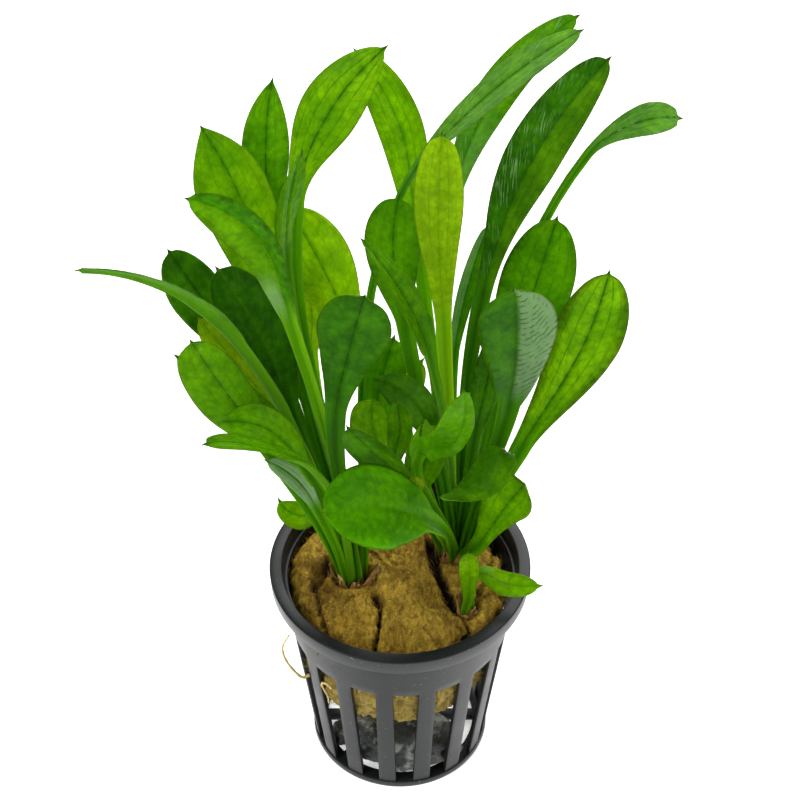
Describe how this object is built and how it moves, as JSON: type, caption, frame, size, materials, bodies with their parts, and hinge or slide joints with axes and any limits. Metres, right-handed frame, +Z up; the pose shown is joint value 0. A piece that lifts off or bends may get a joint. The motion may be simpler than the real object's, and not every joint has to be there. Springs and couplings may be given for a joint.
{
  "type": "potted amazon sword plant",
  "caption": "Rosette water plant with spoon-shaped leaves on slim stalks, rooted in a rock wool plug in a slotted round net pot.",
  "frame": {"origin": "centre of the pot's flat foot, on the surface that the pot stands on", "axes": "+Z up along the pot's axis; -Y towards the side that the plant is seen from; +X to that viewer's right"},
  "size_m": [0.1111, 0.0805, 0.1684],
  "materials": {
    "net_pot_plastic": "satin moulded dark grey plastic",
    "rock_wool": "rough ochre mineral fibre",
    "crown_stem": "dull brown plant stem",
    "stone": "rough dark grey stone",
    "root": "pale tan root",
    "leaf_deep": "glossy dark green leaf",
    "leaf_mid": "glossy mid green leaf",
    "leaf_bright": "glossy bright green leaf",
    "leaf_young": "satin yellow-green young leaf"
  },
  "bodies": {
    "root": {"net_pot": "net_pot_plastic", "rock_wool": "rock_wool", "crown_left": "crown_stem", "crown_right": "crown_stem", "crown_offset": "crown_stem", "weight_stone": "stone", "pebble": "stone", "root_left": "root", "root_front": "root", "leaf_left_01": "leaf_mid", "leaf_left_02": "leaf_mid", "leaf_left_03": "leaf_deep", "leaf_left_04": "leaf_deep", "leaf_left_05": "leaf_bright", "leaf_left_06": "leaf_mid", "leaf_left_07": "leaf_mid", "leaf_left_08": "leaf_mid", "leaf_left_09": "leaf_mid", "leaf_left_10": "leaf_young", "leaf_left_11": "leaf_deep", "leaf_left_12": "leaf_mid", "leaf_left_13": "leaf_mid", "leaf_left_14": "leaf_bright", "leaf_left_15": "leaf_young", "leaf_left_16": "leaf_mid", "leaf_left_17": "leaf_mid", "leaf_left_18": "leaf_mid", "leaf_left_19": "leaf_mid", "leaf_right_01": "leaf_bright", "leaf_right_02": "leaf_bright", "leaf_right_03": "leaf_young", "leaf_right_04": "leaf_deep", "leaf_right_05": "leaf_mid", "leaf_right_06": "leaf_mid", "leaf_right_07": "leaf_young", "leaf_right_08": "leaf_mid", "leaf_right_09": "leaf_deep", "leaf_right_10": "leaf_mid", "leaf_right_11": "leaf_mid", "leaf_right_12": "leaf_deep", "leaf_right_13": "leaf_mid", "leaf_right_14": "leaf_mid", "leaf_right_15": "leaf_deep", "leaf_right_16": "leaf_mid", "leaf_right_17": "leaf_mid", "leaf_right_18": "leaf_deep", "leaf_right_19": "leaf_bright", "leaf_right_20": "leaf_mid", "leaf_right_21": "leaf_mid", "leaf_right_22": "leaf_young", "leaf_right_23": "leaf_mid", "leaf_right_24": "leaf_deep", "leaf_offset_01": "leaf_bright", "leaf_offset_02": "leaf_bright"}
  },
  "joints": []
}
